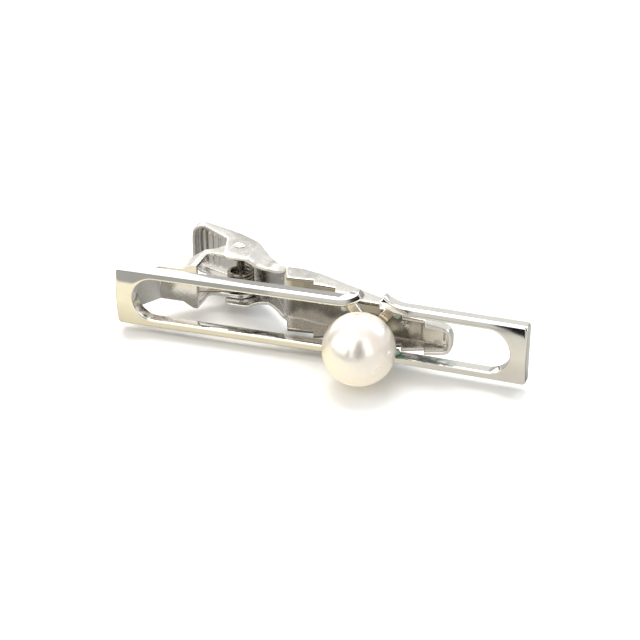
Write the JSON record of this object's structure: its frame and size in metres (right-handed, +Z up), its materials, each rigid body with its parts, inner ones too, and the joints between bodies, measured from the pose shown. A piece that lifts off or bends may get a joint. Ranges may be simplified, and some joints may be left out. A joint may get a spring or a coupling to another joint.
{
  "type": "tie clip",
  "caption": "Open two-wing tie bar with a pearl on a cross seat between the wings, and a sprung toothed clip behind it that grips the tie.",
  "frame": {"origin": "on the bar's back plane, at mid height, on the axis of the pearl", "axes": "+X along the bar towards its free right end, +Y from the bar's front to its back (towards the clip), +Z up across the bar"},
  "size_m": [0.0474, 0.0246, 0.0088],
  "materials": {
    "bar_plate": "mirror-polished bright plate",
    "seat_plate": "polished bright plate",
    "clip_plate": "polished bright plate on stamped sheet",
    "solder": "dull solder with a little green tarnish",
    "spring_wire": "drawn spring wire",
    "pearl": "cream pearl with a soft lustre",
    "cement": "clear cement"
  },
  "bodies": {
    "bar": {"left_wing": "bar_plate", "right_wing": "bar_plate", "cross_seat": "seat_plate", "solder_joints": "solder", "pearl_cup": "seat_plate", "pearl_peg": "seat_plate", "pearl_cement": "cement", "pearl": "pearl", "clip_base": "clip_plate", "pivot_rivet": "clip_plate", "torsion_spring": "spring_wire"},
    "lever": {"clip_lever": "clip_plate"}
  },
  "joints": [
    {"name": "clip_pivot", "type": "hinge", "parent": "bar", "child": "lever", "pos_m": [-0.0187, 0.009, 0], "axis": [0, 0, 1], "range_deg": [0, 50], "stiffness_Nm_per_rad": 0.01, "springref_deg": -5.73, "deforming": ["torsion_spring"]}
  ]
}
